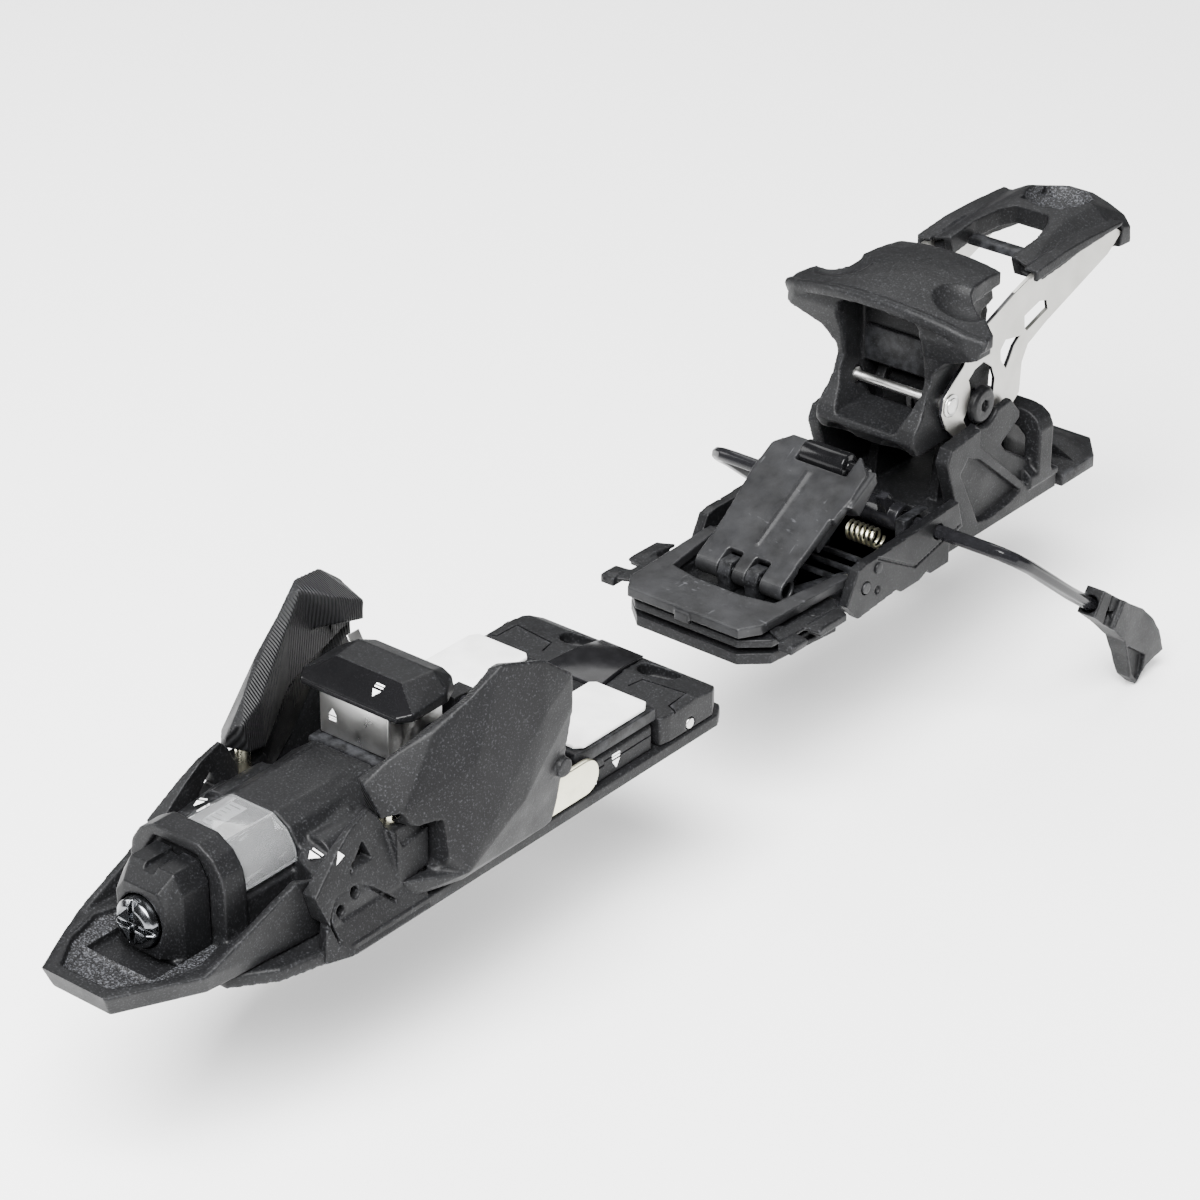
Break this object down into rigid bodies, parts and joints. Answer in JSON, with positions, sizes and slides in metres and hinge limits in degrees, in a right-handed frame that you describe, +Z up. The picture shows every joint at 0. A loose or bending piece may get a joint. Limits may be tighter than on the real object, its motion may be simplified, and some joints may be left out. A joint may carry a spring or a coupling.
{
  "type": "touring binding",
  "caption": "Ski touring binding in a toe piece and a heel piece: pivoting toe wings, pin arms, sole pads, closing heel jaw with lever, ski brake and climbing aid.",
  "frame": {"origin": "middle of the toe base plate underside, on the top face of the ski", "axes": "-Y towards the tip of the ski, +X towards the right edge of the ski, +Z up from the ski"},
  "size_m": [0.1544, 0.5344, 0.169],
  "materials": {
    "nylon": "glass-filled nylon, matt with a fine grain",
    "satin": "satin moulded plastic",
    "gloss": "smooth glossy plastic",
    "white": "white low-friction plastic",
    "clear": "clear polycarbonate, clear as glass",
    "darkchrome": "darkened polished steel",
    "satinsteel": "satin warm-grey metal",
    "brightsteel": "polished steel",
    "zinc": "yellowish zinc plating",
    "blacksteel": "black coated steel"
  },
  "bodies": {
    "base": {"toe_base_plate": "nylon", "toe_housing": "nylon", "value_window": "clear", "adjuster_block": "satin", "release_spring": "darkchrome", "side_frame_right": "nylon", "side_frame_left": "nylon", "wing_pin_right": "brightsteel", "wing_pin_left": "brightsteel", "lever_post": "nylon", "cross_bar": "blacksteel", "tech_pivot_right": "darkchrome", "tech_pivot_left": "darkchrome", "steel_tongue_right": "zinc", "steel_tongue_left": "zinc", "pad_tower": "nylon", "cross_plate": "nylon", "centre_panel": "gloss", "pad_pin": "brightsteel", "lever_axle": "blacksteel", "heel_track": "nylon", "track_rack": "brightsteel"},
    "wing_right": {"toe_wing_right": "nylon"},
    "wing_left": {"toe_wing_left": "nylon"},
    "mode_lever": {"lever_cap": "satin", "lever_bracket": "brightsteel"},
    "tech_arm_right": {"tech_arm_right": "brightsteel"},
    "tech_arm_left": {"tech_arm_left": "brightsteel"},
    "toe_release_screw": {"adjuster_screw": "darkchrome"},
    "toe_value_slider": {"value_indicator": "nylon"},
    "sole_pad": {"pad_plate": "satin", "white_pad_right": "white", "white_pad_left": "white"},
    "pad_height_screw": {"pad_height_screw": "darkchrome"},
    "heel_carriage": {"carriage": "nylon", "main_axle": "darkchrome", "chassis_wall_right": "satin", "chassis_wall_left": "satin", "chassis_floor": "satin", "front_skid": "nylon", "pedal_hinge_pin": "darkchrome"},
    "length_screw": {"length_screw": "darkchrome"},
    "heel_jaw": {"jaw_shell": "nylon", "jaw_back_plate": "satin", "heel_release_spring": "darkchrome", "lever_rivet": "brightsteel"},
    "heel_lever": {"lever_plate_right": "satinsteel", "lever_plate_left": "satinsteel", "heel_lever_cap": "nylon", "lever_cross_bar": "satin"},
    "heel_release_screw": {"heel_release_screw": "darkchrome"},
    "brake_pedal": {"brake_pedal": "satin", "pedal_roller": "darkchrome"},
    "brake_arms": {"brake_crank": "blacksteel", "brake_arm_right": "blacksteel", "brake_arm_left": "blacksteel", "brake_foot_right": "nylon", "brake_foot_left": "nylon"},
    "climb_flap": {"climb_flap": "satin"},
    "lock_slider": {"lock_slider": "nylon"}
  },
  "joints": [
    {"name": "wing_right_release", "type": "hinge", "parent": "base", "child": "wing_right", "pos_m": [0.031, -0.091, 0.025], "axis": [0, 0, 1], "range_deg": [-20, 0]},
    {"name": "wing_left_release", "type": "hinge", "parent": "base", "child": "wing_left", "pos_m": [-0.031, -0.091, 0.025], "axis": [0, 0, 1], "range_deg": [0, 20]},
    {"name": "mode_lever_tilt", "type": "hinge", "parent": "base", "child": "mode_lever", "pos_m": [0, -0.057, 0.041], "axis": [1, 0, 0], "range_deg": [0, 43]},
    {"name": "tech_arm_right_swing", "type": "hinge", "parent": "base", "child": "tech_arm_right", "pos_m": [0.026, -0.041, 0.013], "axis": [0, 1, 0], "range_deg": [0, 7]},
    {"name": "tech_arm_left_swing", "type": "hinge", "parent": "base", "child": "tech_arm_left", "pos_m": [-0.026, -0.041, 0.013], "axis": [0, 1, 0], "range_deg": [-7, 0]},
    {"name": "toe_release_turn", "type": "hinge", "parent": "base", "child": "toe_release_screw", "pos_m": [0, -0.168, 0.0205], "axis": [0, 1, 0], "range_deg": [-720, 720]},
    {"name": "toe_value_slide", "type": "slide", "parent": "base", "child": "toe_value_slider", "axis": [0, 1, 0], "range_m": [-0.002, 0.002]},
    {"name": "pad_tilt", "type": "hinge", "parent": "base", "child": "sole_pad", "pos_m": [0, 0.0469, 0.0074], "axis": [1, 0, 0], "range_deg": [-2.4, 0]},
    {"name": "pad_height_turn", "type": "hinge", "parent": "sole_pad", "child": "pad_height_screw", "pos_m": [0, 0.004, 0.01], "axis": [0, 0, 1], "range_deg": [-540, 0]},
    {"name": "boot_length_slide", "type": "slide", "parent": "base", "child": "heel_carriage", "axis": [0, 1, 0], "range_m": [-0.02, 0.001]},
    {"name": "length_screw_turn", "type": "hinge", "parent": "heel_carriage", "child": "length_screw", "pos_m": [0, 0.278, 0.0196], "axis": [0, 1, 0], "range_deg": [-3600, 180]},
    {"name": "jaw_close", "type": "hinge", "parent": "heel_carriage", "child": "heel_jaw", "pos_m": [0, 0.236, 0.05], "axis": [1, 0, 0], "range_deg": [0, 32]},
    {"name": "heel_lever_swing", "type": "hinge", "parent": "heel_jaw", "child": "heel_lever", "pos_m": [0, 0.2185, 0.0555], "axis": [1, 0, 0], "range_deg": [0, 8]},
    {"name": "heel_release_turn", "type": "hinge", "parent": "heel_jaw", "child": "heel_release_screw", "pos_m": [0, 0.252, 0.066], "axis": [0, 1, 0], "range_deg": [-720, 720]},
    {"name": "pedal_press", "type": "hinge", "parent": "heel_carriage", "child": "brake_pedal", "pos_m": [0, 0.13, 0.015], "axis": [1, 0, 0], "range_deg": [-24, 0]},
    {"name": "brake_arm_swing", "type": "hinge", "parent": "heel_carriage", "child": "brake_arms", "pos_m": [0, 0.198, 0.0165], "axis": [1, 0, 0], "range_deg": [0, 48]},
    {"name": "climb_flap_raise", "type": "hinge", "parent": "heel_carriage", "child": "climb_flap", "pos_m": [0, 0.154, 0.0118], "axis": [1, 0, 0], "range_deg": [-80, 0]},
    {"name": "lock_slide", "type": "slide", "parent": "heel_carriage", "child": "lock_slider", "axis": [0, 1, 0], "range_m": [0, 0.006]}
  ],
  "couplings": [
    {"joint": "tech_arm_right_swing", "follows": "mode_lever_tilt", "ratio": 0.14},
    {"joint": "tech_arm_left_swing", "follows": "mode_lever_tilt", "ratio": -0.14},
    {"joint": "toe_value_slide", "follows": "toe_release_turn", "m_per_rad": 0.00015915},
    {"joint": "pad_height_turn", "follows": "pad_tilt", "ratio": 180},
    {"joint": "length_screw_turn", "follows": "boot_length_slide", "rad_per_m": 3141.6},
    {"joint": "heel_lever_swing", "follows": "jaw_close", "ratio": 0.25},
    {"joint": "brake_arm_swing", "follows": "pedal_press", "ratio": -2}
  ]
}
